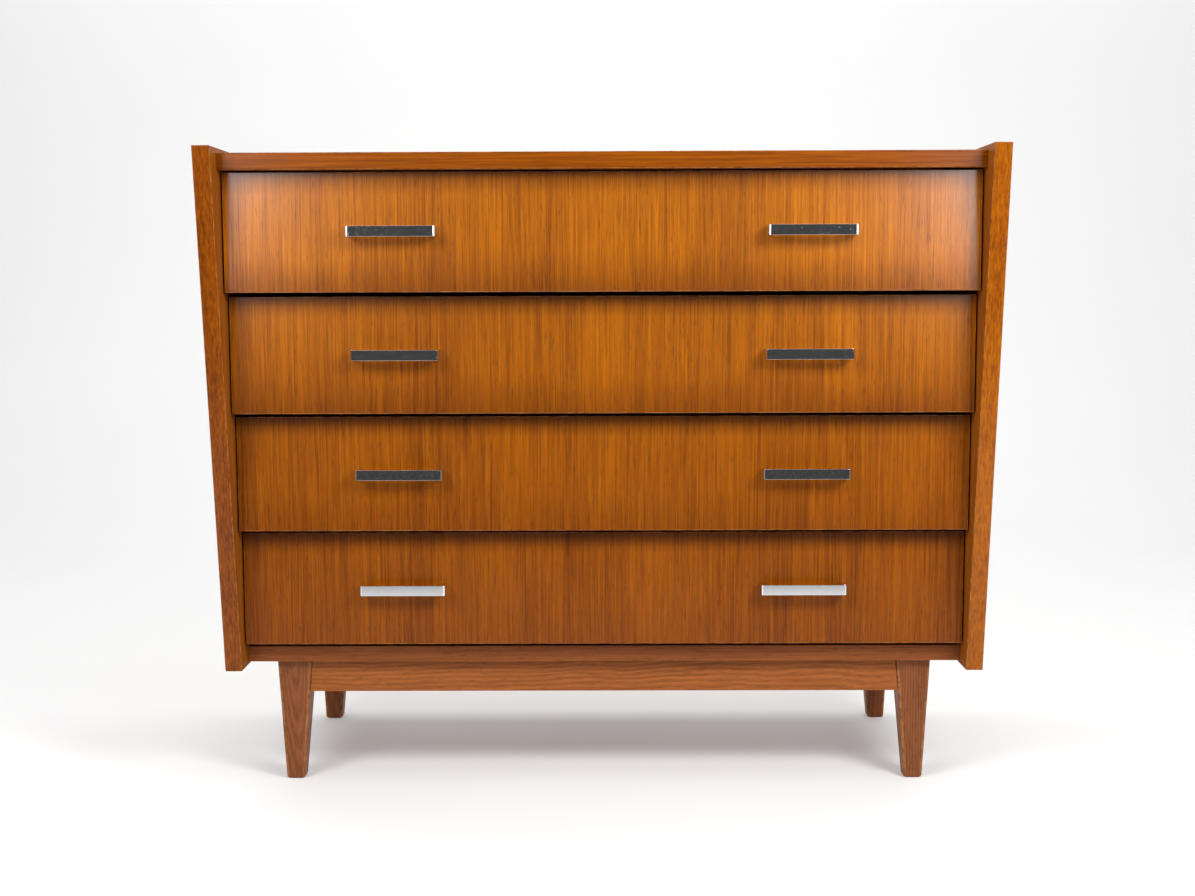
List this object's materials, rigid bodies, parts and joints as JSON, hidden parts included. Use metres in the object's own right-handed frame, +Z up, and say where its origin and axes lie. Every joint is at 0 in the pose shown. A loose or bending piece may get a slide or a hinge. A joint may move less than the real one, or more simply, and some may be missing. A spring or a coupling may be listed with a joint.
{
  "type": "chest of drawers",
  "caption": "Low teak chest of drawers: raked side panels, flat fronts stepping back, flat bar pulls, and a separate frame with tapered legs.",
  "frame": {"origin": "on the floor, under the middle of the chest", "axes": "+X along the width, to the right of a person facing the drawers; +Y from the drawers to the back; +Z up"},
  "size_m": [0.95, 0.485, 0.8],
  "materials": {
    "front_veneer": "oiled teak veneer, straight vertical grain, satin",
    "case_teak": "oiled teak veneer with solid lippings, satin",
    "leg_teak": "oiled solid teak, darker and redder, satin",
    "apron_teak": "oiled solid teak, wavy grain, satin",
    "back_board": "thin plywood, unfinished matt",
    "beech": "planed beech, matt",
    "drawer_beech": "planed beech, thin clear lacquer",
    "drawer_ply": "thin birch plywood, thin clear lacquer",
    "chrome": "polished chrome plate, lightly scuffed"
  },
  "bodies": {
    "case": {"side_panel_left": "case_teak", "side_panel_right": "case_teak", "top_panel": "case_teak", "bottom_panel": "leg_teak", "back_panel": "back_board", "runner_left_1": "beech", "runner_right_1": "beech", "runner_left_2": "beech", "runner_right_2": "beech", "runner_left_3": "beech", "runner_right_3": "beech", "runner_left_4": "beech", "runner_right_4": "beech", "leg_front_left": "leg_teak", "leg_front_right": "leg_teak", "leg_rear_left": "leg_teak", "leg_rear_right": "leg_teak", "apron_front": "apron_teak", "apron_rear": "apron_teak", "apron_left": "apron_teak", "apron_right": "apron_teak", "batten_left": "beech", "batten_right": "beech"},
    "drawer_1": {"drawer_1_front": "front_veneer", "drawer_1_side_left": "drawer_beech", "drawer_1_side_right": "drawer_beech", "drawer_1_back": "drawer_beech", "drawer_1_bottom": "drawer_ply", "drawer_1_handle_left": "chrome", "drawer_1_handle_right": "chrome"},
    "drawer_2": {"drawer_2_front": "front_veneer", "drawer_2_side_left": "drawer_beech", "drawer_2_side_right": "drawer_beech", "drawer_2_back": "drawer_beech", "drawer_2_bottom": "drawer_ply", "drawer_2_handle_left": "chrome", "drawer_2_handle_right": "chrome"},
    "drawer_3": {"drawer_3_front": "front_veneer", "drawer_3_side_left": "drawer_beech", "drawer_3_side_right": "drawer_beech", "drawer_3_back": "drawer_beech", "drawer_3_bottom": "drawer_ply", "drawer_3_handle_left": "chrome", "drawer_3_handle_right": "chrome"},
    "drawer_4": {"drawer_4_front": "front_veneer", "drawer_4_side_left": "drawer_beech", "drawer_4_side_right": "drawer_beech", "drawer_4_back": "drawer_beech", "drawer_4_bottom": "drawer_ply", "drawer_4_handle_left": "chrome", "drawer_4_handle_right": "chrome"}
  },
  "joints": [
    {"name": "drawer_1_slide", "type": "slide", "parent": "case", "child": "drawer_1", "axis": [0, -1, 0], "range_m": [0, 0.3]},
    {"name": "drawer_2_slide", "type": "slide", "parent": "case", "child": "drawer_2", "axis": [0, -1, 0], "range_m": [0, 0.284]},
    {"name": "drawer_3_slide", "type": "slide", "parent": "case", "child": "drawer_3", "axis": [0, -1, 0], "range_m": [0, 0.268]},
    {"name": "drawer_4_slide", "type": "slide", "parent": "case", "child": "drawer_4", "axis": [0, -1, 0], "range_m": [0, 0.252]}
  ]
}
